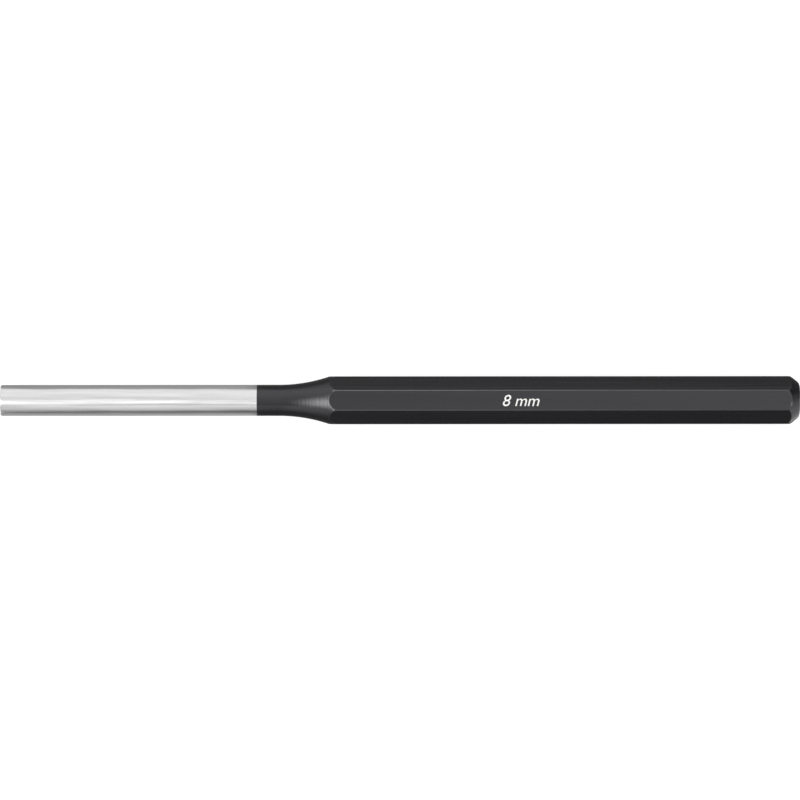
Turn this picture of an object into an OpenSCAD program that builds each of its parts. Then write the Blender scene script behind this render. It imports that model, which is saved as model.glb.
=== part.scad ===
// Pin punch: one octagonal bar of tool steel, turned down to a long round pin, lying on one of its flats.
// Every zone of the bar is a solid of its own, and each meets the next on a plane square to the bar.
// The zones are drawn upright, each from the plane that it seats on, and are then laid along X in their places.

/* [Bar] */
// Whole length, from the working tip to the striking end
overall_l = 200; // [150:1:260]
// Width of the octagonal bar across two opposite flats
across_flats = 12; // [10:0.5:16]
// Radius along the eight edges of the bar
edge_r = 0.5; // [0.2:0.05:0.9]

/* [Driving pin] */
// Diameter of the ground pin, a little under the hole that it clears
pin_d = 7.8; // [4:0.1:8.5]
// Length of the bright ground pin, from the tip to where the coat begins
pin_l = 64.2; // [30:0.1:90]
// Width of the bevel that breaks the edge of the working tip
tip_bevel_w = 0.25; // [0.1:0.05:0.8]

/* [Neck] */
// Length of the coated collar, which keeps the diameter of the pin
collar_l = 5.5; // [1:0.5:15]
// Radius of the concave flare between the collar and the bar
flare_r = 39; // [15:1:60]
// Length of full bar that stays on the neck past the last scallop of the flare
neck_land_l = 1.4; // [0.5:0.1:5]

/* [Striking head] */
// Length of bar that belongs to the striking head
head_l = 12; // [6:0.5:25]
// Length of the chamfer, from where it leaves the flats to the end face
chamfer_l = 2.3; // [1.8:0.1:4]
// Angle at which the chamfer leaves the flats, in degrees
chamfer_angle = 34; // [26:1:38]
// Radius of the slight crown that the chamfer is turned to
chamfer_crown_r = 20; // [6:0.5:30]
// Radius that rolls the chamfer over into the end face
rim_r = 1.4; // [0.8:0.1:2]

/* [Hidden] */

// Colours of the ground steel and of the black coat
steel_colour = "#d2d3d6";
coat_colour = "#3a3a3c";

// Facets of a full turn
$fn = 192;

// Sides of the bar, and the turn from one flat to the next
sides = 8;
side_turn = 360 / sides;

// Half widths of the bar and the pin
flat_r = across_flats / 2;
pin_r = pin_d / 2;

// Circle on which the centres of the rounded edges lie, and how far those edges stand from the axis
edge_centre_r = (flat_r - edge_r) / cos(side_turn / 2);
corner_r = edge_centre_r + edge_r;

// Half of the plain width that the rounded edges leave of a flat
plain_half_w = (flat_r - edge_r) * tan(side_turn / 2);

// Radius to which a turned outline runs, just past the corners of the bar that it is cut to
blank_r = corner_r + edge_r / 4;

// Distance along the axis in which the flare opens from the pin to a radius r
function flare_run(r) = sqrt(flare_r ^ 2 - (flare_r - (r - pin_r)) ^ 2);

// Length of the neck, and of the shank between the neck and the striking head
neck_l = collar_l + flare_run(corner_r) + neck_land_l;
shank_l = overall_l - pin_l - neck_l - head_l;

// Centre of the crown arc, as radius and height over the end face: the arc leaves the flats at the chamfer's angle
crown_centre = [
    flat_r - chamfer_crown_r * cos(chamfer_angle),
    -chamfer_l - chamfer_crown_r * sin(chamfer_angle)
];

// The rim arc ends on the end face, square to the axis. Where it meets the crown arc it stands out by a trace,
// so that the two arcs cross in a faint ridge.
rim_lap = rim_r / 100;
rim_offset = chamfer_crown_r - rim_r + rim_lap;
face_r = crown_centre[0] + sqrt(rim_offset ^ 2 - (rim_r + crown_centre[1]) ^ 2);
rim_centre = [face_r, -rim_r];
roll_height = rim_centre[1] + rim_r * (rim_centre[1] - crown_centre[1]) / rim_offset;

// Rounded octagon, the section of the bar, with flats square to both axes
module bar_section() {
    polygon([
        for (i = [0 : sides - 1])
            for (half_w = [-plain_half_w, plain_half_w])
                let (a = i * side_turn)
                [flat_r * cos(a) - half_w * sin(a), flat_r * sin(a) + half_w * cos(a)]
    ]);
    for (i = [0 : sides - 1])
        rotate((i + 1 / 2) * side_turn)
            translate([edge_centre_r, 0])
                circle(r = edge_r);
}

// Stretch of the bar between two heights
module bar(from, to) {
    translate([0, 0, from])
        linear_extrude(height = to - from)
            bar_section();
}

// Lays an upright zone along X, with its zero height at the given distance from the working tip. The lowest flat
// of the bar is then on the ground, and the middle of the bar over the origin.
module laid(distance) {
    translate([distance - overall_l / 2, 0, flat_r])
        rotate([0, 90, 0])
            children();
}

// Bright pin that goes into the hole and drives out what sits there, with its working edge broken
module driving_pin() {
    color(steel_colour)
        laid(0)
            rotate_extrude()
                polygon([
                    [0, 0],
                    [pin_r - tip_bevel_w, 0],
                    [pin_r, tip_bevel_w],
                    [pin_r, pin_l],
                    [0, pin_l]
                ]);
}

// Outline of the turned neck: the collar, and the hollow flare that opens out past the corners of the bar
module neck_outline() {
    difference() {
        square([blank_r, neck_l]);
        translate([pin_r, 0])
            square([blank_r, collar_l]);
        translate([pin_r + flare_r, collar_l])
            circle(r = flare_r);
    }
}

// Neck: where the turned flare meets the flats and the edges of the bar, it runs out in scallops
module neck() {
    color(coat_colour)
        laid(pin_l)
            intersection() {
                rotate_extrude() neck_outline();
                bar(0, neck_l);
            }
}

// Octagonal shank, the part that is held
module octagonal_shank() {
    color(coat_colour)
        laid(pin_l + neck_l)
            bar(0, shank_l);
}

// Outline of the striking end below its end face: crowned chamfer over the full bar, and rim rolled round the face
module head_outline() {
    intersection() {
        union() {
            translate(crown_centre)
                circle(r = chamfer_crown_r);
            translate([0, -head_l])
                square([blank_r, head_l + crown_centre[1]]);
        }
        union() {
            translate(rim_centre)
                circle(r = rim_r);
            translate([0, -head_l])
                square([face_r, head_l]);
            translate([0, -head_l])
                square([blank_r, head_l + roll_height]);
        }
    }
}

// Striking head, the end of the bar that the hammer meets
module striking_head() {
    color(coat_colour)
        laid(overall_l)
            intersection() {
                rotate_extrude() head_outline();
                bar(-head_l, 0);
            }
}

driving_pin();
neck();
octagonal_shank();
striking_head();
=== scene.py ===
# %% [markdown]
# # A pin punch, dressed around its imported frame
# The tool is one bar of octagonal steel. A long round pin is turned and ground on one end, and the rest is
# painted satin black. The frame holds its true sizes, so this script only reads them and dresses them.
# The frame comes first, because every surface below takes its place from it.

# %% Load the frame
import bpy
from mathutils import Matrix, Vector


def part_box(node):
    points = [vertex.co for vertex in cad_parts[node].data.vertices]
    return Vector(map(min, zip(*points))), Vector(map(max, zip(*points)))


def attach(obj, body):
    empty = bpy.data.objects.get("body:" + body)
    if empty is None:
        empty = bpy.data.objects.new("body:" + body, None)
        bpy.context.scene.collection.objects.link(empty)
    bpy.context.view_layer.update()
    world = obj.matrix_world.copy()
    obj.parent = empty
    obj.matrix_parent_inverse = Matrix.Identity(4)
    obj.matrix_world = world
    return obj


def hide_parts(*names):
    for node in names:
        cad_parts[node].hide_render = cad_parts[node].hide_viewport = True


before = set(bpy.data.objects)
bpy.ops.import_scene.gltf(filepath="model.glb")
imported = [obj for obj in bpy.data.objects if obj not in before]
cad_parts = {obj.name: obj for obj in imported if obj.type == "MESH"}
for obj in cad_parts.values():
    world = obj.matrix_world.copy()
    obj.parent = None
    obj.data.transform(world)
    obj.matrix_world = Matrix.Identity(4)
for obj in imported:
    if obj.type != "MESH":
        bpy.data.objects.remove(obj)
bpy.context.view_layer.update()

import bmesh
import bpy
import numpy as np
from mathutils import Matrix, Vector

# %% [markdown]
# ## Sizes that the frame gives
# Blender works in metres and the tool's maker in millimetres, so one factor turns the second into the first.
# The four zones of the bar meet on planes square to it, and their boxes give those planes, the width of the
# bar and the thickness of the pin. What a box can't tell, such as a radius, is a named size of its own.

# %% Read the boxes of the four zones
MM = 0.001

tip_corner, pin_corner = (np.array(corner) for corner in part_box("driving_pin"))
neck_corner, bar_corner = (np.array(corner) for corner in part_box("neck"))
head_corner, end_corner = (np.array(corner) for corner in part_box("striking_head"))

TIP_X = tip_corner[0]
COAT_X = neck_corner[0]
SHANK_X = bar_corner[0]
HEAD_X = head_corner[0]
END_X = end_corner[0]
AXIS_Z = bar_corner[2] / 2
FLAT_R = (bar_corner[1] - neck_corner[1]) / 2
PIN_R = (pin_corner[1] - tip_corner[1]) / 2

print(f"bar {2 * FLAT_R / MM:.2f} mm over flats, pin {2 * PIN_R / MM:.2f} mm,",
      f"whole {(END_X - TIP_X) / MM:.1f} mm")

# %% Sizes of the shapes in between
EDGE_R = 0.5 * MM
COLLAR_L = 5.5 * MM
FLARE_R = 39 * MM
TIP_BEVEL = 0.25 * MM
CHAMFER_L = 2.3 * MM
CHAMFER_ANGLE = np.radians(34)
CROWN_R = 20 * MM
RIM_R = 1.4 * MM

# The paint is a film on the steel. The painted bar is drawn this much inside the frame, so that the printed
# mark on its flat stays inside too, and the bare pin lies a step under the paint.
PRINT_T = 0.008 * MM
PAINT_T = 0.012 * MM

# %% [markdown]
# ## The section of the bar
# Rolled tool steel bar has eight flats that meet in small round edges, and those edges catch the light as
# thin bright lines. The section is written as one radius for each angle. On a flat that radius is the flat's
# distance over the cosine, and on a rounded edge it is the far crossing with the edge's own circle. One
# formula then serves the neck, the shank and the head, so the three meet without a step.

# %% Radius of the bar at every angle
SIDES = 8
SIDE_TURN = 2 * np.pi / SIDES
BAR_FLAT_R = FLAT_R - PRINT_T
EDGE_CENTRE_R = (BAR_FLAT_R - EDGE_R) / np.cos(SIDE_TURN / 2)
PLAIN_HALF_W = (BAR_FLAT_R - EDGE_R) * np.tan(SIDE_TURN / 2)


def bar_radius(angle):
    """Radius of the rounded octagon. On a flat it is the flat's distance over the cosine of the angle from
    the flat's middle. Past the plain width it is the far crossing of that ray with the edge's circle."""
    from_flat = np.abs((angle + SIDE_TURN / 2) % SIDE_TURN - SIDE_TURN / 2)
    from_edge = SIDE_TURN / 2 - from_flat
    on_flat = BAR_FLAT_R / np.cos(from_flat)
    across = EDGE_CENTRE_R * np.sin(from_edge)
    on_edge = EDGE_CENTRE_R * np.cos(from_edge) + np.sqrt(np.maximum(EDGE_R**2 - across**2, 0))
    return np.where(BAR_FLAT_R * np.tan(from_flat) <= PLAIN_HALF_W, on_flat, on_edge)


# %% Angles of the columns, even along the flats and crowded round the edges
FLAT_COLUMNS = 36
EDGE_COLUMNS = 14


def bar_columns():
    """Angles round the bar: even steps across each flat, then even turns round the circle of each edge."""
    along = np.linspace(-PLAIN_HALF_W, PLAIN_HALF_W, FLAT_COLUMNS)
    on_flat = np.arctan2(along, BAR_FLAT_R)
    turn = np.linspace(-SIDE_TURN / 2, SIDE_TURN / 2, EDGE_COLUMNS + 2)[1:-1]
    on_edge = SIDE_TURN / 2 + np.arctan2(EDGE_R * np.sin(turn), EDGE_CENTRE_R + EDGE_R * np.cos(turn))
    one_side = np.concatenate([on_flat, on_edge])
    return (one_side + SIDE_TURN * np.arange(SIDES)[:, None]).ravel()


bar_angles = bar_columns()
print("columns round the bar:", len(bar_angles))

# %% [markdown]
# ## From a grid of points to a mesh
# Every piece of this tool is a skin round one axis: rows run along it and columns run round it. So one helper
# takes the distance along the axis and the radius as two arrays, joins the points in quads, closes each end
# with a fan of triangles, and writes the map and the attributes that the finishes read. The map's first
# coordinate follows the profile and its second goes round, both in millimetres, so that grinding lines and
# brushing can follow the surface over a face as well as along the pin.

# %% Put a thing in the scene
def in_scene(name, data):
    """Object of that name with its mesh, curve, lamp or lens, linked to the scene."""
    thing = bpy.data.objects.new(name, data)
    bpy.context.scene.collection.objects.link(thing)
    return thing


# %% Faces of the grid
def grid_corners(rows, columns):
    """Row and column of every quad's four corners. A quad joins two rows and two columns, and the column
    after the last one stands for the first again."""
    row, column = np.meshgrid(np.arange(rows - 1), np.arange(columns), indexing="ij")
    corner_rows = np.stack([row, row, row + 1, row + 1], axis=-1)
    corner_columns = np.stack([column, column + 1, column + 1, column], axis=-1)
    return corner_rows.reshape(-1, 4), corner_columns.reshape(-1, 4)


def grid_faces(rows, columns):
    """Points of every face: the quads, and two fans that join the first and the last row to their poles,
    which are numbered after the points of the grid."""
    corner_rows, corner_columns = grid_corners(rows, columns)
    quads = corner_rows * columns + corner_columns % columns
    around = np.arange(columns)
    after = (around + 1) % columns
    end_row = (rows - 1) * columns
    start_fan = np.stack([after, around, np.full(columns, rows * columns)], axis=-1)
    end_fan = np.stack([end_row + around, end_row + after, np.full(columns, rows * columns + 1)], axis=-1)
    return quads, start_fan, end_fan


# %% Map of the grid
def surface_map(x, radius):
    """Map of every face's corners, in millimetres. The first coordinate is the length of the profile from the
    first row, and runs on by the radius at a pole. The second goes round, at the width of the pin's skin."""
    rows, columns = radius.shape
    corner_rows, corner_columns = grid_corners(rows, columns)
    steps = np.hypot(np.diff(x, axis=0), np.diff(radius, axis=0))
    along = np.concatenate([np.zeros((1, columns)), np.cumsum(steps, axis=0)]) / MM
    width = 2 * np.pi * PIN_R / MM
    turn = np.arange(columns + 1) / columns * width
    here, after = turn[:-1], turn[1:]
    first, last = along[0], along[-1]
    quad_map = np.stack([along[corner_rows, corner_columns % columns], turn[corner_columns]], axis=-1)
    start_map = np.stack([
        np.stack([np.roll(first, -1), after], axis=-1),
        np.stack([first, here], axis=-1),
        np.stack([first - radius[0] / MM, here], axis=-1),
    ], axis=1)
    end_map = np.stack([
        np.stack([last, here], axis=-1),
        np.stack([np.roll(last, -1), after], axis=-1),
        np.stack([last + radius[-1] / MM, here], axis=-1),
    ], axis=1)
    return np.concatenate([part.reshape(-1, 2) for part in (quad_map, start_map, end_map)])


# %% Skin helper
def skin(name, x, radius, angles, marks):
    """Closed skin: point (row, column) stands at x[row, column] on the axis, at radius[row, column] from it,
    turned by angles[column]. The first row fans to a point in its own plane and the last does too. marks are
    arrays of one number a point, each stored as an attribute."""
    rows, columns = radius.shape
    points = np.stack([x, radius * np.sin(angles), AXIS_Z + radius * np.cos(angles)], axis=-1)
    poles = np.array([[x[0].mean(), 0, AXIS_Z], [x[-1].mean(), 0, AXIS_Z]])
    quads, start_fan, end_fan = grid_faces(rows, columns)
    mesh = bpy.data.meshes.new(name)
    mesh.from_pydata(np.concatenate([points.reshape(-1, 3), poles]), [],
                     quads.tolist() + start_fan.tolist() + end_fan.tolist())
    smooth = np.ones(len(mesh.polygons), bool)
    smooth[len(quads):] = False
    mesh.polygons.foreach_set("use_smooth", smooth)
    layer = mesh.uv_layers.new(name="surface_mm")
    layer.data.foreach_set("uv", surface_map(x, radius).ravel())
    for mark, values in marks.items():
        attribute = mesh.attributes.new(mark, "FLOAT", "POINT")
        at_poles = [values[0].mean(), values[-1].mean()]
        attribute.data.foreach_set("value", np.concatenate([values.ravel(), at_poles]))
    mesh.update()

    # The rims of both fans are sharp, so that the flat fans don't shade the skin beside them.
    ends = np.empty(2 * len(mesh.edges), int)
    mesh.edges.foreach_get("vertices", ends)
    ring = ends.reshape(-1, 2) // columns
    rim = (ring[:, 0] == ring[:, 1]) & ((ring[:, 0] == 0) | (ring[:, 0] == rows - 1))
    mesh.attributes.new("sharp_edge", "BOOLEAN", "EDGE").data.foreach_set("value", rim)
    print(f"{name}: {rows} rows, {columns} columns, {2 * len(quads) + 2 * columns} triangles")
    return in_scene(name, mesh)


# %% [markdown]
# ## Small departures from the perfect shape
# Ground and turned steel is never quite true. Slow waves a few thousandths of a millimetre high bend the
# reflections so that they run a little unevenly, and a cutting tool leaves fine rings. Sums of a few sines
# with fixed phases draw both, and they give the same surface on every run.

# %% Waves and turning rings
BEAT_RINGS = 7.3
BEAT_SHARE = 0.3


def slow_waves(x, angles, height, lengths, turns, seed):
    """Sum of sines. Each has a wavelength along the axis, a whole number of waves round it, and a phase drawn
    from a fixed seed, and height is the most that each adds."""
    phases = np.random.default_rng(seed).uniform(0, 2 * np.pi, len(lengths))
    waves = [np.sin(2 * np.pi * x / length + count * angles + phase)
             for length, count, phase in zip(lengths, turns, phases)]
    return height * np.sum(waves, axis=0)


def turning_rings(x, pitch, height):
    """Rings left by a cutting tool: a sine of the distance along the axis, whose height swells and fades once
    in every seven or so of them."""
    beat = 1 - BEAT_SHARE + BEAT_SHARE * np.sin(2 * np.pi * x / (pitch * BEAT_RINGS))
    return height * beat * np.sin(2 * np.pi * x / pitch)


def facing_rings(radius, face_r, pitch, height):
    """Rings left on an end face: grooves that go down by a raised cosine of the radius, and run out over the
    last pitch before the face's edge."""
    inside = np.clip((face_r - radius) / pitch, 0, 1)
    return height * inside * (1 - np.cos(2 * np.pi * radius / pitch)) / 2


def softened(first, second, blend):
    """Smooth minimum: half of the sum less the root of the squared difference plus the squared blend."""
    return (first + second - np.sqrt((first - second) ** 2 + blend**2)) / 2


# %% [markdown]
# ## The driving pin
# The pin is turned and then ground between centres, up to a sharp line where the paint begins. Its edge is
# broken by a small bevel, and its end face is turned flat. A lathe makes it from a profile, and so does the
# function here: the profile's corners become short arcs, because no real edge is a corner. Grinding leaves a
# round bar with slightly more sides than it should have, and waves of a few thousandths of a millimetre round
# it make the dark lines of its reflections swim a little along their length.

# %% Driving pin
PIN_COLUMNS = 320
SIDE_STEP = 0.5 * MM
FACE_STEP = 0.06 * MM
BEVEL_ROLL = 0.06 * MM
ROLL_ROWS = 6
POLE_R = 0.2 * MM
FACE_RING_PITCH = 0.42 * MM
FACE_RING_HEIGHT = 0.005 * MM
PIN_WAVE = 0.003 * MM
PIN_FADE = 3 * MM
WAVE_LENGTHS = np.array([31, 47, 19, 64, 12]) * MM
WAVE_TURNS = [5, 7, 9, 4, 11]


def rounded_profile(corners, radii, rows):
    """Profile through corners given as (x, radius), each corner but the first and last replaced by an arc of
    its radius, drawn with rows points as a quadratic curve between its two tangent points."""
    corners = np.array(corners)
    pieces = [corners[:1]]
    t = np.linspace(0, 1, rows)[:, None]
    for before, corner, after, radius in zip(corners[:-2], corners[1:-1], corners[2:], radii):
        back = (before - corner) / np.linalg.norm(before - corner)
        ahead = (after - corner) / np.linalg.norm(after - corner)
        start, finish = corner + back * radius, corner + ahead * radius
        pieces.append((1 - t) ** 2 * start + 2 * t * (1 - t) * corner + t**2 * finish)
    pieces.append(corners[-1:])
    return np.concatenate(pieces)


def filled(profile, spacing):
    """The same profile with points added on its longer steps, no further apart than spacing."""
    counts = np.maximum(np.ceil(np.linalg.norm(np.diff(profile, axis=0), axis=1) / spacing), 1).astype(int)
    starts = np.repeat(profile[:-1], counts, axis=0)
    strides = np.repeat(np.diff(profile, axis=0) / counts[:, None], counts, axis=0)
    places = np.arange(counts.sum()) - np.repeat(np.cumsum(counts) - counts, counts)
    return np.concatenate([starts + strides * places[:, None], profile[-1:]])


def driving_pin():
    """Profile from the middle of the end face over the bevel and along the pin, carried round the axis."""
    bare_r = PIN_R - PAINT_T
    corners = [(TIP_X, POLE_R), (TIP_X, bare_r - TIP_BEVEL), (TIP_X + TIP_BEVEL, bare_r), (COAT_X, bare_r)]
    outline = rounded_profile(corners, [BEVEL_ROLL, BEVEL_ROLL], ROLL_ROWS)
    profile = np.concatenate([filled(outline[:2], FACE_STEP)[:-1], filled(outline[1:], SIDE_STEP)])
    profile[:, 0] += facing_rings(profile[:, 1], outline[1, 1], FACE_RING_PITCH, FACE_RING_HEIGHT)
    angles = np.linspace(0, 2 * np.pi, PIN_COLUMNS, endpoint=False)
    x = np.repeat(profile[:, :1], PIN_COLUMNS, axis=1)
    radius = np.repeat(profile[:, 1:], PIN_COLUMNS, axis=1)
    on_side = np.clip((x - TIP_X) / PIN_FADE, 0, 1)
    radius = radius + on_side * slow_waves(x, angles, PIN_WAVE, WAVE_LENGTHS, WAVE_TURNS, seed=4)
    faced = np.clip((TIP_X + TIP_BEVEL - x) / TIP_BEVEL, 0, 1)
    return skin("ground_pin", x, radius, angles, {"faced": faced})


ground_pin = driving_pin()

# %% [markdown]
# ## The neck and its scallops
# Past the pin's diameter a form tool opens the round section in a long hollow flare. Where the flare grows
# out of the octagon it runs out in eight scallops: it meets each flat early in the flat's middle and later
# at the edges. The skin takes the smaller of two radii, the turned one and the bar's, and its rows bend to
# follow the line where the two are equal, so that the line stays crisp with few rows. Towards the bar the
# form tool chatters a little, and leaves uneven rings that show as faint bars across the highlight. They are
# drawn several times as high as real ones, because finer ones don't show. The edges of the bar and the
# corners of the scallops stand proud, so handling wears the paint there first. A mark on every point says how
# much, for the paint to read.

# %% Wear of the edges
EDGE_WEAR_HALF_W = 0.075 * MM
HEAD_WEAR_SHARE = 0.25


def from_edge(angles):
    """Distance round the bar from the middle of the nearest rounded edge."""
    turn = SIDE_TURN / 2 - np.abs((angles + SIDE_TURN / 2) % SIDE_TURN - SIDE_TURN / 2)
    return turn * (EDGE_CENTRE_R + EDGE_R)


def bell(distance, half_width):
    """One at no distance, falling off on both sides as the exponential of minus the squared distance."""
    return np.exp(-((distance / half_width) ** 2))


def edge_wear(x, angles):
    """Bell across each rounded edge, which falls evenly from one at the neck to its share at the head."""
    along = np.clip((x - SHANK_X) / (END_X - SHANK_X), 0, 1)
    return bell(from_edge(angles), EDGE_WEAR_HALF_W) * (1 - (1 - HEAD_WEAR_SHARE) * along)


# %% Neck
NECK_BLEND = 0.05 * MM
CHATTER = [(1.37 * MM, 0.0036 * MM), (0.93 * MM, 0.0066 * MM), (0.66 * MM, 0.0048 * MM)]
CHATTER_FROM, CHATTER_TO = 3 * MM, 8 * MM
CORNER_WEAR_R = 0.28 * MM
RIDGE_WEAR_HALF_W = 0.09 * MM
RIDGE_WEAR_SHARE = 0.08
FLARE_ROWS = 120
LAND_ROWS = 26
COLLAR_ROWS = 30
LIP_ROWS = 5
FLARE_CROWDING = 1.25
LAND_CROWDING = 2.2
LONGEST_RUN = 0.9 * FLARE_R
COAT_LIP = 0.05 * MM


def flare_radius(x):
    """Turned radius of the neck: the collar's, and past the collar the near side of the flare's circle."""
    run = np.clip(x - COAT_X - COLLAR_L, 0, LONGEST_RUN)
    return PIN_R + FLARE_R - np.sqrt(FLARE_R**2 - run**2)


def flare_crossing(radius):
    """Distance along the axis at which the flare has opened to a radius."""
    return COAT_X + COLLAR_L + np.sqrt(FLARE_R**2 - (FLARE_R - (radius - PIN_R)) ** 2)


def crowded(start, finish, rows, power):
    """Rows from start to finish, crowded towards finish by the power."""
    share = 1 - (1 - np.linspace(0, 1, rows)) ** power
    return start + (finish - start) * share[:, None]


def turned_neck():
    """Collar, flare and land, as the smooth minimum of the turned radius and the bar's."""
    bar = bar_radius(bar_angles)
    scallop = flare_crossing(bar)
    flare_start = np.full_like(scallop, COAT_X + COLLAR_L)
    lip = COAT_X + COAT_LIP * (1 - np.cos(np.linspace(0, np.pi / 2, LIP_ROWS)))[:, None] + 0 * scallop
    collar = crowded(lip[-1], flare_start, COLLAR_ROWS, 1)[1:]
    flare = crowded(flare_start, scallop, FLARE_ROWS, FLARE_CROWDING)[1:]
    land = crowded(np.full_like(scallop, SHANK_X), scallop, LAND_ROWS, LAND_CROWDING)[::-1][1:]
    x = np.concatenate([lip, collar, flare, land])
    deep_cut = np.clip((x - flare_start - CHATTER_FROM) / (CHATTER_TO - CHATTER_FROM), 0, 1)
    chatter = deep_cut * sum(turning_rings(x, pitch, height) for pitch, height in CHATTER)
    lip_drop = np.clip(1 - (x - COAT_X) / COAT_LIP, 0, 1)
    turned = flare_radius(x) + chatter - PAINT_T * (1 - np.sqrt(1 - lip_drop**2))
    radius = softened(turned, bar, NECK_BLEND)
    past = np.clip((x - scallop) / RIDGE_WEAR_HALF_W, 0, 1)
    corner = bell(x - scallop, CORNER_WEAR_R) * bell(from_edge(bar_angles), CORNER_WEAR_R)
    ridge = RIDGE_WEAR_SHARE * bell(x - scallop, RIDGE_WEAR_HALF_W)
    wear = np.maximum(edge_wear(x, bar_angles) * past, np.maximum(corner, ridge))
    return skin("turned_neck", x, radius, bar_angles, {"wear": wear, "turned": 1 - past})


painted_neck = turned_neck()

# %% [markdown]
# ## The shank
# The shank is the bar as it was rolled, cut to length: the same rounded octagon from end to end. Two rings
# would be enough for its shape. It has many, because a rolled bar is slightly uneven, and those slow waves
# make the reflections on its flats drift as they do on a real tool.

# %% Shank
SHANK_ROWS = 104
BAR_WAVE = 0.6e-3 * MM
BAR_FADE = 8 * MM
BAR_WAVE_LENGTHS = np.array([58, 37, 83, 23]) * MM
BAR_WAVE_TURNS = [1, 3, 2, 5]


def rolled_shank():
    """The bar's radius on every row, less what keeps the slow waves inside it. Both fade at both ends."""
    x = np.linspace(SHANK_X, HEAD_X, SHANK_ROWS)[:, None] + 0 * bar_angles
    fade = np.clip((x - SHANK_X) / BAR_FADE, 0, 1) * np.clip((HEAD_X - x) / BAR_FADE, 0, 1)
    waves = slow_waves(x, bar_angles, BAR_WAVE, BAR_WAVE_LENGTHS, BAR_WAVE_TURNS, seed=9)
    radius = bar_radius(bar_angles) + fade * (waves - len(BAR_WAVE_LENGTHS) * BAR_WAVE)
    return skin("octagonal_bar", x, radius, bar_angles, {"wear": edge_wear(x, bar_angles), "turned": 0 * x})


painted_shank = rolled_shank()

# %% [markdown]
# ## The striking head
# The end that the hammer meets is turned down in a chamfer, so that it doesn't mushroom. The chamfer has a
# slight crown and rolls over into the flat end face. Its rows start on the line where the crown comes out of
# the bar, which dips on each flat and rises at each edge, and then run together over the crown and the rim.
# Paint is thin on that ridge, and a hammer that came down beside the face has knocked it off in one spot.

# %% Striking head
CROWN_X = END_X - CHAMFER_L - CROWN_R * np.sin(CHAMFER_ANGLE)
CROWN_CENTRE_R = FLAT_R - CROWN_R * np.cos(CHAMFER_ANGLE)
RIM_OFFSET = CROWN_R - RIM_R
RIM_CENTRE_X = END_X - RIM_R
FACE_R = CROWN_CENTRE_R + np.sqrt(RIM_OFFSET**2 - (RIM_CENTRE_X - CROWN_X) ** 2)
ROLL_TURN = np.arctan2(RIM_CENTRE_X - CROWN_X, FACE_R - CROWN_CENTRE_R)
HEAD_BLEND = 0.05 * MM
HEAD_CROWDING = 2.4
CROWN_CROWDING = 1.5
CHAMFER_WEAR_SHARE = 0.12
KNOCK_ANGLE = -np.radians(9)
KNOCK_HALF_W = 0.5 * MM
KNOCK_DEPTH = 0.2 * MM
HEAD_ROWS = 30
CROWN_ROWS = 44
RIM_ROWS = 16
FACE_ROWS = 56


def turned_head():
    """Bar up to the crown, crown as a turn about its centre, rim as a turn about its own, and end face. The
    bar and the crown are the smooth minimum of the turned radius and the bar's."""
    bar = bar_radius(bar_angles)
    first_turn = np.arccos((bar - CROWN_CENTRE_R) / CROWN_R)
    crossing = CROWN_X + CROWN_R * np.sin(first_turn)
    straight = crowded(np.full_like(crossing, HEAD_X), crossing, HEAD_ROWS, HEAD_CROWDING)
    share = np.linspace(0, 1, CROWN_ROWS)[1:, None] ** CROWN_CROWDING
    turn = first_turn + (ROLL_TURN - first_turn) * share
    crown_x = CROWN_X + CROWN_R * np.sin(turn)
    crown_r = CROWN_CENTRE_R + CROWN_R * np.cos(turn)
    roll = np.linspace(ROLL_TURN, np.pi / 2, RIM_ROWS)[1:, None] + 0 * bar
    rim_x = RIM_CENTRE_X + RIM_R * np.sin(roll)
    rim_r = FACE_R + RIM_R * np.cos(roll)
    face_r = np.linspace(FACE_R, POLE_R, FACE_ROWS)[1:, None] + 0 * bar
    face_x = END_X - facing_rings(face_r, FACE_R, FACE_RING_PITCH, FACE_RING_HEIGHT)

    swing = np.maximum((straight - CROWN_X) / CROWN_R, 0)
    over_bar = CROWN_CENTRE_R + CROWN_R * np.sqrt(1 - swing**2)
    x = np.concatenate([straight, crown_x, rim_x, face_x])
    radius = np.concatenate([softened(np.concatenate([over_bar, crown_r]), bar, HEAD_BLEND), rim_r, face_r])

    is_turned = np.clip((x - crossing) / RIDGE_WEAR_HALF_W, 0, 1)
    from_knock = ((bar_angles - KNOCK_ANGLE + np.pi) % (2 * np.pi) - np.pi) * BAR_FLAT_R
    knock = bell(from_knock, KNOCK_HALF_W) * bell(x - crossing, KNOCK_DEPTH)
    ridge = CHAMFER_WEAR_SHARE * bell(x - crossing, RIDGE_WEAR_HALF_W)
    wear = np.maximum(edge_wear(x, bar_angles) * (1 - is_turned), np.maximum(ridge, knock))
    return skin("turned_head", x, radius, bar_angles, {"wear": wear, "turned": is_turned})


painted_head = turned_head()

# %% [markdown]
# ## Tools for the finishes
# Colours are written as the eye knows them, in sRGB, and one function turns them to the linear values that
# a renderer adds up. One more adds a node with its settings and its links, and a third starts a material.
# Every finish below is built with those three.

# %% Colour and node helpers
def linear(hex_colour):
    """Linear RGBA of an sRGB hex colour: a small part is straight, the rest follows a power of 2.4."""
    srgb = np.array([int(hex_colour[i:i + 2], 16) for i in (1, 3, 5)]) / 255
    curve = np.where(srgb <= 0.04045, srgb / 12.92, ((srgb + 0.055) / 1.055) ** 2.4)
    return (*curve.tolist(), 1.0)


def add(tree, kind, values=None, links=None, **settings):
    """Adds a node: settings are its own properties, values fill its sockets, and links join the outputs of
    other nodes to them."""
    node = tree.nodes.new(kind)
    for name, value in settings.items():
        setattr(node, name, value)
    for socket, value in (values or {}).items():
        node.inputs[socket].default_value = value
    for socket, source in (links or {}).items():
        tree.links.new(source, node.inputs[socket])
    return node


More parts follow.
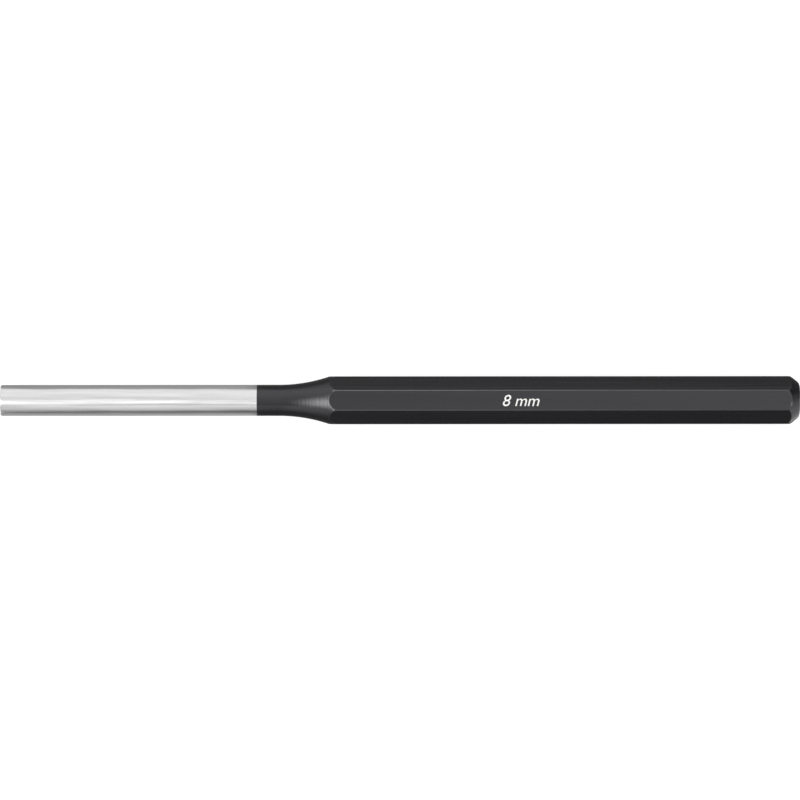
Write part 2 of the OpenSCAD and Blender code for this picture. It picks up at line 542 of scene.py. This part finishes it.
def new_material(name):
    """A material without nodes, and its node tree."""
    material = bpy.data.materials.new(name)
    material.use_nodes = True
    material.node_tree.nodes.clear()
    return material, material.node_tree


# %% [markdown]
# ## Ground tool steel
# The pin is chrome-vanadium steel, ground round and round and left bare. That gives the eye a bright grey
# metal whose reflections stay sharp across the pin and smear along it, because the grinding lines run round
# it. The shader does the same with anisotropy, whose tangent is the map's first direction. Real grinding
# lines are finer than a render shows, so the bump has some a seventh of a millimetre apart. Soft streaks
# about 20 mm long lie along the pin where it was wiped and drawn out of holes, and a few nicks a millimetre
# or two long catch the light. The turned end face is duller than the ground side, because its rings are
# coarser.

# %% Ground tool steel
LINES_PER_MM = (7.0, 0.12, 1.0)
STREAKS_PER_MM = (0.05, 1.1, 1.0)
NICKS_PER_MM = (0.55, 1.9, 1.0)
LINE_HEIGHT = 0.02 * MM
STREAK_HEIGHT = 0.012 * MM
NICK_DEPTH = 0.01 * MM
NICK_FROM, NICK_TO = 0.70, 0.76
NOISE_LOW, NOISE_HIGH = 0.3, 0.7
SIDE_ROUGH_LOW, SIDE_ROUGH_HIGH = 0.20, 0.25
FACE_ROUGH = 0.38
SIDE_DULL, SIDE_BRIGHT = "#d2d2d2", "#e0e0e0"
FACE_DULL, FACE_BRIGHT = "#a4a5a7", "#c6c7c9"


def ground_tool_steel():
    """Bare metal: streaks set its roughness and tint, and lines, streaks and nicks its bump. Where the point
    attribute faced is one, the duller turned face takes over."""
    material, tree = new_material("ground_tool_steel")
    surface = add(tree, "ShaderNodeUVMap", uv_map="surface_mm").outputs["UV"]
    lines_at = add(tree, "ShaderNodeMapping", {"Scale": LINES_PER_MM}, {"Vector": surface})
    lines = add(tree, "ShaderNodeTexNoise", {"Scale": 1.0, "Detail": 3.0, "Roughness": 0.6},
                {"Vector": lines_at.outputs["Vector"]})
    streaks_at = add(tree, "ShaderNodeMapping", {"Scale": STREAKS_PER_MM}, {"Vector": surface})
    streaks = add(tree, "ShaderNodeTexNoise", {"Scale": 1.0, "Detail": 2.0},
                  {"Vector": streaks_at.outputs["Vector"]})
    nicks_at = add(tree, "ShaderNodeMapping", {"Scale": NICKS_PER_MM}, {"Vector": surface})
    specks = add(tree, "ShaderNodeTexNoise", {"Scale": 1.0, "Detail": 1.0},
                 {"Vector": nicks_at.outputs["Vector"]})
    nicks = add(tree, "ShaderNodeMapRange", {"From Min": NICK_FROM, "From Max": NICK_TO},
                {"Value": specks.outputs["Fac"]})
    faced = add(tree, "ShaderNodeAttribute", attribute_name="faced")
    wiped = add(tree, "ShaderNodeMapRange", {"From Min": NOISE_LOW, "From Max": NOISE_HIGH},
                {"Value": streaks.outputs["Fac"]})
    side_rough = add(tree, "ShaderNodeMix", {"A": SIDE_ROUGH_LOW, "B": SIDE_ROUGH_HIGH},
                     {"Factor": wiped.outputs["Result"]}, data_type="FLOAT")
    rough = add(tree, "ShaderNodeMix", {"B": FACE_ROUGH}, {"Factor": faced.outputs["Fac"],
                "A": side_rough.outputs["Result"]}, data_type="FLOAT")
    side_tint = add(tree, "ShaderNodeMix", {"A": linear(SIDE_DULL), "B": linear(SIDE_BRIGHT)},
                    {"Factor": wiped.outputs["Result"]}, data_type="RGBA")
    face_tint = add(tree, "ShaderNodeMix", {"A": linear(FACE_DULL), "B": linear(FACE_BRIGHT)},
                    {"Factor": lines.outputs["Fac"]}, data_type="RGBA")
    tint = add(tree, "ShaderNodeMix", links={"Factor": faced.outputs["Fac"], "A": side_tint.outputs["Result"],
               "B": face_tint.outputs["Result"]}, data_type="RGBA")
    ground = add(tree, "ShaderNodeBump", {"Strength": 0.12, "Distance": LINE_HEIGHT},
                 {"Height": lines.outputs["Fac"]})
    drawn = add(tree, "ShaderNodeBump", {"Strength": 0.5, "Distance": STREAK_HEIGHT},
                {"Height": streaks.outputs["Fac"], "Normal": ground.outputs["Normal"]})
    nicked = add(tree, "ShaderNodeBump", {"Strength": 0.5, "Distance": NICK_DEPTH},
                 {"Height": nicks.outputs["Result"], "Normal": drawn.outputs["Normal"]}, invert=True)
    grain = add(tree, "ShaderNodeTangent", direction_type="UV_MAP", uv_map="surface_mm")
    metal = add(tree, "ShaderNodeBsdfPrincipled", {"Metallic": 1.0, "Anisotropic": 0.9},
                {"Base Color": tint.outputs["Result"], "Roughness": rough.outputs["Result"],
                 "Normal": nicked.outputs["Normal"], "Tangent": grain.outputs["Tangent"]})
    add(tree, "ShaderNodeOutputMaterial", links={"Surface": metal.outputs["BSDF"]})
    return material


# %% [markdown]
# ## Black satin paint
# The rest of the bar is painted in a thin black satin lacquer with a trace of violet in its gloss. It is
# nearly black by itself, so what the eye sees is mostly that soft gloss. The film has the fine grain of
# sprayed paint, it follows the rolling streaks and the turning rings under it, and along the edges of the bar
# it is worn through to dull steel in a line a tenth of a millimetre wide. Where the line is thin, the metal
# shows in dashes.

# %% Black satin paint
PER_MM = 1 / MM
GRAIN_PER_MM = 2.6
ROLLED_PER_MM = (0.02, 1.2, 1.2)
RINGS_PER_MM = 1.2
DASHES_PER_MM = (0.6, 2.0, 2.0)
GRAIN_HEIGHT = 0.01 * MM
ROLLED_HEIGHT = 0.032 * MM
RING_HEIGHT = 0.02 * MM
DASH_FROM, DASH_TO = 0.3, 0.6
LEAST_DASH = 0.55
PAINT_ROUGH_LOW, PAINT_ROUGH_HIGH = 0.21, 0.29
PAINT_COLOUR, WORN_COLOUR = "#171618", "#7e7e80"
PAINT_IOR = 1.6
VIOLET_GLOSS = (0.97, 0.96, 1.0, 1.0)


def black_satin_paint():
    """Dark glossy film over three bumps: spray grain, rolling streaks, and turning rings where the point
    attribute turned is one. The attribute wear, broken into dashes, turns it to dull metal."""
    material, tree = new_material("black_satin_paint")
    place = add(tree, "ShaderNodeTexCoord").outputs["Object"]
    in_mm = add(tree, "ShaderNodeVectorMath", {"Scale": PER_MM}, {0: place},
                operation="SCALE").outputs["Vector"]
    sprayed = add(tree, "ShaderNodeTexNoise", {"Scale": GRAIN_PER_MM, "Detail": 2.0}, {"Vector": in_mm})
    rolled_at = add(tree, "ShaderNodeMapping", {"Scale": ROLLED_PER_MM}, {"Vector": in_mm})
    rolled = add(tree, "ShaderNodeTexNoise", {"Scale": 1.0, "Detail": 3.0},
                 {"Vector": rolled_at.outputs["Vector"]})
    rough = add(tree, "ShaderNodeMapRange",
                {"From Min": NOISE_LOW, "From Max": NOISE_HIGH,
                 "To Min": PAINT_ROUGH_LOW, "To Max": PAINT_ROUGH_HIGH},
                {"Value": rolled.outputs["Fac"]})

    along = add(tree, "ShaderNodeSeparateXYZ", links={"Vector": in_mm}).outputs["X"]
    rings = add(tree, "ShaderNodeTexNoise", {"Scale": RINGS_PER_MM, "Detail": 3.0}, {"W": along},
                noise_dimensions="1D")
    turned = add(tree, "ShaderNodeAttribute", attribute_name="turned")
    cut = add(tree, "ShaderNodeMath", links={0: rings.outputs["Fac"], 1: turned.outputs["Fac"]},
              operation="MULTIPLY")

    dashes_at = add(tree, "ShaderNodeMapping", {"Scale": DASHES_PER_MM}, {"Vector": in_mm})
    dashes = add(tree, "ShaderNodeTexNoise", {"Scale": 1.0, "Detail": 3.0},
                 {"Vector": dashes_at.outputs["Vector"]})
    broken = add(tree, "ShaderNodeMapRange",
                 {"From Min": DASH_FROM, "From Max": DASH_TO, "To Min": LEAST_DASH, "To Max": 1.0},
                 {"Value": dashes.outputs["Fac"]})
    wear = add(tree, "ShaderNodeAttribute", attribute_name="wear")
    bare = add(tree, "ShaderNodeMath", links={0: wear.outputs["Fac"], 1: broken.outputs["Result"]},
               operation="MULTIPLY")
    tint = add(tree, "ShaderNodeMix", {"A": linear(PAINT_COLOUR), "B": linear(WORN_COLOUR)},
               {"Factor": bare.outputs[0]}, data_type="RGBA")

    grain = add(tree, "ShaderNodeBump", {"Strength": 0.15, "Distance": GRAIN_HEIGHT},
                {"Height": sprayed.outputs["Fac"]})
    streaks = add(tree, "ShaderNodeBump", {"Strength": 1.0, "Distance": ROLLED_HEIGHT},
                  {"Height": rolled.outputs["Fac"], "Normal": grain.outputs["Normal"]})
    lathe = add(tree, "ShaderNodeBump", {"Strength": 0.5, "Distance": RING_HEIGHT},
                {"Height": cut.outputs[0], "Normal": streaks.outputs["Normal"]})
    paint = add(tree, "ShaderNodeBsdfPrincipled", {"IOR": PAINT_IOR, "Specular Tint": VIOLET_GLOSS},
                {"Base Color": tint.outputs["Result"], "Metallic": bare.outputs[0],
                 "Roughness": rough.outputs["Result"], "Normal": lathe.outputs["Normal"]})
    add(tree, "ShaderNodeOutputMaterial", links={"Surface": paint.outputs["BSDF"]})
    return material


# %% [markdown]
# ## On the frame
# Each dressed piece takes the place of one zone of the frame, in the pictures alone: the plain solid stays
# as it is for the motion. The piece rides on the tool's one body.

# %% Hang the pieces on the frame
STEEL = ground_tool_steel()
PAINT = black_satin_paint()

for piece, node_name, material, slot in [
    (ground_pin, "driving_pin", STEEL, "ground_steel"),
    (painted_neck, "neck", PAINT, "black_coat"),
    (painted_shank, "octagonal_shank", PAINT, "black_coat"),
    (painted_head, "striking_head", PAINT, "black_coat"),
]:
    piece.data.materials.append(material)
    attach(piece, "root")
    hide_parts(node_name)

# %% [markdown]
# ## The size mark
# Such punches carry their size in white on one flat. It is printed with a soft pad, which lays down a film of
# ink less than a hundredth of a millimetre thick. The letters are a text curve made into a mesh, as thick as
# the film, and they lie on the upper flat with their lower side just under the paint. The ink is matt, with
# pinholes where the pad didn't wet the streaks of the rolled steel.

# %% Size mark
MARK_TEXT = "8 mm"
MARK_CAP_H = 2.9 * MM
MARK_X = 30 * MM
MARK_SLANT = 0.25
PINHOLES_PER_MM = (1.6, 4.0, 4.0)
PINHOLE_FROM, PINHOLE_TO = 0.60, 0.72
INK_SKIN_HEIGHT = 0.004 * MM
INK_ROUGH_LOW, INK_ROUGH_HIGH = 0.5, 0.65
INK_COLOUR, THIN_INK_COLOUR = "#e3e3e1", "#3a393a"

# How far the letters reach below the painted flat, and how far their tops stay below the frame's own flat.
MARK_SINK = 0.006 * MM
MARK_SPARE = 0.001 * MM

# Height of a capital in letters of size one, and the gap there within which points of their mesh are joined.
FONT_CAP_SHARE = 0.72
WELD = 1e-5


def white_pad_ink():
    """Matt white film that turns to the paint's own dark in small long specks, where it is thin."""
    material, tree = new_material("white_pad_ink")
    place = add(tree, "ShaderNodeTexCoord").outputs["Object"]
    in_mm = add(tree, "ShaderNodeVectorMath", {"Scale": PER_MM}, {0: place},
                operation="SCALE").outputs["Vector"]
    holes_at = add(tree, "ShaderNodeMapping", {"Scale": PINHOLES_PER_MM}, {"Vector": in_mm})
    specks = add(tree, "ShaderNodeTexNoise", {"Scale": 1.0, "Detail": 2.0},
                 {"Vector": holes_at.outputs["Vector"]})
    thin = add(tree, "ShaderNodeMapRange", {"From Min": PINHOLE_FROM, "From Max": PINHOLE_TO},
               {"Value": specks.outputs["Fac"]})
    tint = add(tree, "ShaderNodeMix", {"A": linear(INK_COLOUR), "B": linear(THIN_INK_COLOUR)},
               {"Factor": thin.outputs["Result"]}, data_type="RGBA")
    rough = add(tree, "ShaderNodeMapRange", {"To Min": INK_ROUGH_LOW, "To Max": INK_ROUGH_HIGH},
                {"Value": specks.outputs["Fac"]})
    skinned = add(tree, "ShaderNodeBump", {"Strength": 0.3, "Distance": INK_SKIN_HEIGHT},
                  {"Height": specks.outputs["Fac"]})
    ink = add(tree, "ShaderNodeBsdfPrincipled", links={"Base Color": tint.outputs["Result"],
              "Roughness": rough.outputs["Result"], "Normal": skinned.outputs["Normal"]})
    add(tree, "ShaderNodeOutputMaterial", links={"Surface": ink.outputs["BSDF"]})
    return material


def size_mark():
    """Slanted letters in the middle of the upper flat. The curve is drawn with letters one unit high, so its
    own thickness is the film's over the size that it is then scaled to."""
    foot = AXIS_Z + BAR_FLAT_R - MARK_SINK
    top = AXIS_Z + FLAT_R - MARK_SPARE
    scale = MARK_CAP_H / FONT_CAP_SHARE
    curve = bpy.data.curves.new("writing", "FONT")
    curve.body = MARK_TEXT
    curve.align_x = "CENTER"
    curve.shear = MARK_SLANT
    curve.extrude = (top - foot) / 2 / scale
    writer = in_scene("writing", curve)
    mesh = bpy.data.meshes.new_from_object(writer.evaluated_get(bpy.context.evaluated_depsgraph_get()))
    bpy.data.objects.remove(writer)

    solid = bmesh.new()
    solid.from_mesh(mesh)
    bmesh.ops.remove_doubles(solid, verts=solid.verts, dist=WELD)
    bmesh.ops.recalc_face_normals(solid, faces=solid.faces)
    open_edges = sum(not edge.is_manifold for edge in solid.edges)
    solid.to_mesh(mesh)
    solid.free()
    mesh.transform(Matrix.Translation((MARK_X, -MARK_CAP_H / 2, (foot + top) / 2)) @ Matrix.Scale(scale, 4))
    mesh.name = "size_mark"
    print(f"size_mark: {len(mesh.polygons)} faces, {open_edges} open edges")
    return in_scene("size_mark", mesh)


printed_mark = size_mark()
printed_mark.data.materials.append(white_pad_ink())
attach(printed_mark, "root")
mark_points = np.array([corner[:] for corner in printed_mark.bound_box])
print("size mark from", mark_points.min(axis=0) / MM, "to", mark_points.max(axis=0) / MM, "mm")

# %% [markdown]
# ## The table
# The tool lies on a plain white table. The table's own colour takes the light and the tool's shadow, and a
# glow that the camera and the reflections see lifts it to the white of the photograph's background, so no
# extra light falls on the tool.

# %% Table
TABLE_HALF = 6.0
TABLE_GLOW = 0.80
TABLE_COLOUR = "#969696"
WHITE = linear("#ffffff")


def white_table():
    """Flat square under the tool, of a matt pale finish, with the glow where a camera, glossy or transmission
    ray meets it."""
    corners = np.array([(-1, -1, 0), (1, -1, 0), (1, 1, 0), (-1, 1, 0)]) * TABLE_HALF
    mesh = bpy.data.meshes.new("table")
    mesh.from_pydata(corners.tolist(), [], [(0, 1, 2, 3)])
    material, tree = new_material("white_table")
    path = add(tree, "ShaderNodeLightPath").outputs
    mirrored = add(tree, "ShaderNodeMath", links={0: path["Is Glossy Ray"], 1: path["Is Transmission Ray"]},
                   operation="ADD")
    seen = add(tree, "ShaderNodeMath", links={0: path["Is Camera Ray"], 1: mirrored.outputs[0]},
               operation="ADD")
    lift = add(tree, "ShaderNodeMath", {1: TABLE_GLOW}, {0: seen.outputs[0]}, operation="MULTIPLY")
    matt = add(tree, "ShaderNodeBsdfDiffuse", {"Color": linear(TABLE_COLOUR)})
    glow = add(tree, "ShaderNodeEmission", {"Color": WHITE}, {"Strength": lift.outputs[0]})
    both = add(tree, "ShaderNodeAddShader", links={0: matt.outputs[0], 1: glow.outputs[0]})
    add(tree, "ShaderNodeOutputMaterial", links={"Surface": both.outputs[0]})
    mesh.materials.append(material)
    table = in_scene("table", mesh)


white_table()

# %% [markdown]
# ## Reflection cards, glowing sheets that paint reflections
# A round bright pin on a white table would melt into it. Photographers lay grey and black cards beside such a
# tool, just out of the picture, and the metal reflects them as the dark lines that draw its edges. These
# sheets stand in for such cards, and only reflections see them. They take no light from the lamps but glow at
# a set level, so they paint the grey and dark bands of reflection on the metal. Each is a path of (y, z)
# points, on the table and up a wall, with a glow level at every point: the light that a card of that grey
# would send back. The bright pin and the black bar have cards of their own, as the dark ones that suit the
# paint would blacken the steel. What the camera sees in the tool lies further out the further it is, so the
# cards fan out by the same rule.

# %% Cards
CARD_LIFT = 0.3 * MM

# Height of the camera over the tool's axis. The camera itself comes last.
CAMERA_H = 0.97


def card(name, path, first_x, last_x, spread, last_share):
    """Glowing sheet over a path of (y, z, glow) points, seen only in reflections, whose glow paints a level
    of reflection. Each point is a line along the tool from first_x to last_x. Both ends are drawn out by the
    distance from the tool over the camera's height, and the last end by spread times that distance squared
    more. The glow levels change to their last_share at the last end."""
    y, z, reflection_glows = np.array(path).T
    fan = 1 + np.abs(y) / CAMERA_H
    far_end = last_x * fan + spread * y**2
    points = np.stack([np.concatenate([first_x * fan, far_end]), np.tile(y, 2), np.tile(z, 2)], axis=-1)
    count = len(y)
    step = np.arange(count - 1)
    faces = np.stack([step, step + 1, step + 1 + count, step + count], axis=-1)
    mesh = bpy.data.meshes.new(name)
    mesh.from_pydata(points.tolist(), [], faces.tolist())
    attribute = mesh.attributes.new("reflection_glow", "FLOAT", "POINT")
    attribute.data.foreach_set("value", np.concatenate([reflection_glows, reflection_glows * last_share]))
    material, tree = new_material(name)
    reflection_glow = add(tree, "ShaderNodeAttribute", attribute_name="reflection_glow")
    # The sheet glows at its set level and takes no light from the lamps: a painted reflection.
    painted_reflection = add(tree, "ShaderNodeEmission", {"Color": WHITE}, {"Strength": reflection_glow.outputs["Fac"]})
    add(tree, "ShaderNodeOutputMaterial", links={"Surface": painted_reflection.outputs[0]})
    mesh.materials.append(material)
    sheet = in_scene(name, mesh)
    sheet.visible_camera = False
    sheet.visible_diffuse = False
    sheet.visible_shadow = False
    sheet.visible_transmission = False


CARD_TIP_X = TIP_X - 4 * MM
FAR_END_X = 0.25

# The levels below paint the grey and dark bands of reflection along the pin and the bar.
card("pin_near_card",
     [(-0.003, CARD_LIFT, 0.44), (-0.009, CARD_LIFT, 0.46), (-0.0123, CARD_LIFT, 0.45),
      (-0.02, CARD_LIFT, 0.38), (-0.03, CARD_LIFT, 0.28), (-0.04, CARD_LIFT, 0.21), (-0.12, CARD_LIFT, 0.19),
      (-0.12, 0.006, 0.22), (-0.12, 0.0155, 0.29), (-0.12, 0.036, 0.62), (-0.12, 0.056, 0.82),
      (-0.12, 0.079, 0.95), (-0.12, 0.104, 1.02), (-0.12, 0.16, 1.05)],
     CARD_TIP_X, COAT_X, spread=0.0, last_share=1.12)
card("pin_far_card",
     [(0.003, CARD_LIFT, 0.30), (0.008, CARD_LIFT, 0.33), (0.015, CARD_LIFT, 0.41), (0.026, CARD_LIFT, 0.40),
      (0.063, CARD_LIFT, 0.54), (0.3, CARD_LIFT, 0.63)],
     CARD_TIP_X, COAT_X, spread=0.0, last_share=1.08)
card("bar_near_card",
     [(-0.003, CARD_LIFT, 0.17), (-0.02, CARD_LIFT, 0.12), (-0.12, CARD_LIFT, 0.11), (-0.12, 0.006, 0.12),
      (-0.12, 0.027, 0.20), (-0.12, 0.052, 0.38), (-0.12, 0.1, 0.56)],
     COAT_X, END_X, spread=2.2, last_share=0.75)
card("bar_far_card",
     [(0.003, CARD_LIFT, 0.19), (0.06, CARD_LIFT, 0.19), (0.06, 0.012, 0.28), (0.06, 0.0175, 0.84)],
     COAT_X, FAR_END_X, spread=0.0, last_share=0.4)

# %% [markdown]
# ## Light
# A studio is never even: its walls, its ceiling and its screens each send back a light of their own, and a
# glossy tool shows them all. Here the world has one level of light for each direction. It is dimmer on the
# near side of the tool than on the far side, and brighter over the striking end than over the pin. Low down
# past the tip it dims, so the flare's outline fades into shade. Past the striking end it falls from bright on
# the near side to dark on the far side, which is what the chamfer shows. The camera sees it plain white. One
# large softbox hangs over the tip's side. It is bright in its middle and fades to its rim, and the flare of
# the neck shows it as a soft highlight.

# %% World
# Smooth steps in the direction that the light comes from: the axis that it is read on, where the step starts
# and ends there, and its first and last level.
LIGHT_STEPS = {
    "near": ("Y", -0.5, 0.1, 0.55, 0.80),
    "far": ("Y", 0.05, 0.7, 0.0, 0.34),
    "endwards": ("X", -0.02, 0.14, -0.14, 0.50),
    "overhead": ("Z", 0.6, 0.9, 0.0, 1.0),
    "low": ("Z", 0.0, 0.4, 0.45, 0.0),
    "tipwards": ("X", -0.35, -0.12, 1.0, 0.0),
    "past_end": ("X", 0.5, 0.85, 0.0, 1.0),
}
END_SLOPE = {"From Min": -0.5, "From Max": 0.34, "To Min": 1.38, "To Max": 0.06}
SEEN_LEVEL = 1.0


def studio():
    """Level of the light from each direction: the near and the far step, and the endwards step times the
    overhead one. All of that is dimmed by the low step times the tipwards one, and past the striking end it
    goes over to a slope in Y. A camera ray sees one plain level."""
    world = bpy.data.worlds.new("studio")
    bpy.context.scene.world = world
    world.use_nodes = True
    tree = world.node_tree
    tree.nodes.clear()
    toward = add(tree, "ShaderNodeTexCoord").outputs["Generated"]
    parts = add(tree, "ShaderNodeSeparateXYZ", links={"Vector": toward}).outputs
    steps = {}
    for name, (axis, start, finish, first, last) in LIGHT_STEPS.items():
        ends = {"From Min": start, "From Max": finish, "To Min": first, "To Max": last}
        step = add(tree, "ShaderNodeMapRange", ends, {"Value": parts[axis]}, interpolation_type="SMOOTHSTEP")
        steps[name] = step.outputs["Result"]
    sides = add(tree, "ShaderNodeMath", links={0: steps["near"], 1: steps["far"]}, operation="ADD")
    dome = add(tree, "ShaderNodeMath",
               links={0: steps["endwards"], 1: steps["overhead"], 2: sides.outputs[0]},
               operation="MULTIPLY_ADD")
    shade = add(tree, "ShaderNodeMath", links={0: steps["low"], 1: steps["tipwards"]}, operation="MULTIPLY")
    left = add(tree, "ShaderNodeMath", {0: 1.0}, {1: shade.outputs[0]}, operation="SUBTRACT")
    dimmed = add(tree, "ShaderNodeMath", links={0: dome.outputs[0], 1: left.outputs[0]},
                 operation="MULTIPLY")
    slope = add(tree, "ShaderNodeMapRange", END_SLOPE, {"Value": parts["Y"]})
    level = add(tree, "ShaderNodeMix", links={"Factor": steps["past_end"], "A": dimmed.outputs[0],
                "B": slope.outputs["Result"]}, data_type="FLOAT")
    path = add(tree, "ShaderNodeLightPath").outputs
    seen = add(tree, "ShaderNodeMix", {"B": SEEN_LEVEL},
               {"Factor": path["Is Camera Ray"], "A": level.outputs["Result"]}, data_type="FLOAT")
    light = add(tree, "ShaderNodeBackground", {"Color": WHITE}, {"Strength": seen.outputs["Result"]})
    add(tree, "ShaderNodeOutputWorld", links={"Surface": light.outputs[0]})


studio()


# %% Softbox
LAMP_MIDDLE = 0.5


def soft_box(name, toward, distance, size, radiance):
    """Area lamp, size across and up, that stands at distance in the direction toward and faces the tool. Its
    light falls evenly from its middle to its rim. Its power is its radiance times four times its area."""
    lamp = bpy.data.lights.new(name, "AREA")
    lamp.shape = "RECTANGLE"
    lamp.size, lamp.size_y = size
    lamp.energy = radiance * 4 * size[0] * size[1]
    lamp.use_nodes = True
    tree = lamp.node_tree
    tree.nodes.clear()
    place = add(tree, "ShaderNodeNewGeometry").outputs["Parametric"]
    off_centre = add(tree, "ShaderNodeVectorMath", {1: (LAMP_MIDDLE, LAMP_MIDDLE, 0)}, {0: place},
                     operation="DISTANCE")
    fade = add(tree, "ShaderNodeMapRange",
               {"From Min": 0.0, "From Max": LAMP_MIDDLE, "To Min": 1.0, "To Max": 0.0},
               {"Value": off_centre.outputs["Value"]})
    light = add(tree, "ShaderNodeEmission", {"Color": WHITE}, {"Strength": fade.outputs["Result"]})
    add(tree, "ShaderNodeOutputLight", links={"Surface": light.outputs[0]})
    box = in_scene(name, lamp)
    direction = Vector(toward).normalized()
    box.location = direction * distance
    box.rotation_mode = "QUATERNION"
    box.rotation_quaternion = direction.to_track_quat("Z", "Y")
    box.visible_camera = False


soft_box("key", toward=(-0.67, -0.188, 0.718), distance=0.92, size=(1.1, 0.95), radiance=6.0)

# %% [markdown]
# ## Camera
# The camera looks straight down on the tool from about a metre, which is what the slight narrowing of the
# tool towards its ends in the photograph gives. It stands a hair off the axis and is turned by a hair, so
# that the tool lies in the picture as it does there.

# %% Camera
CAMERA_OFF_AXIS = 0.068 * MM
CAMERA_TURN = -0.0006
SENSOR_W_MM = 36
FOCAL_L_MM = 174.2
CLIP_START, CLIP_END = 0.05, 20


def camera():
    """Long lens over the middle of the tool's length, looking down at its axis."""
    lens = bpy.data.cameras.new("camera")
    lens.sensor_width = SENSOR_W_MM
    lens.lens = FOCAL_L_MM
    lens.clip_start = CLIP_START
    lens.clip_end = CLIP_END
    eye = in_scene("camera", lens)
    eye.location = (0, CAMERA_OFF_AXIS, AXIS_Z + CAMERA_H)
    eye.rotation_euler = (0, 0, CAMERA_TURN)
    bpy.context.scene.camera = eye


camera()

# The plain transform keeps the background's white as it is, where a filmic one would grey it.
bpy.context.scene.view_settings.view_transform = "Standard"
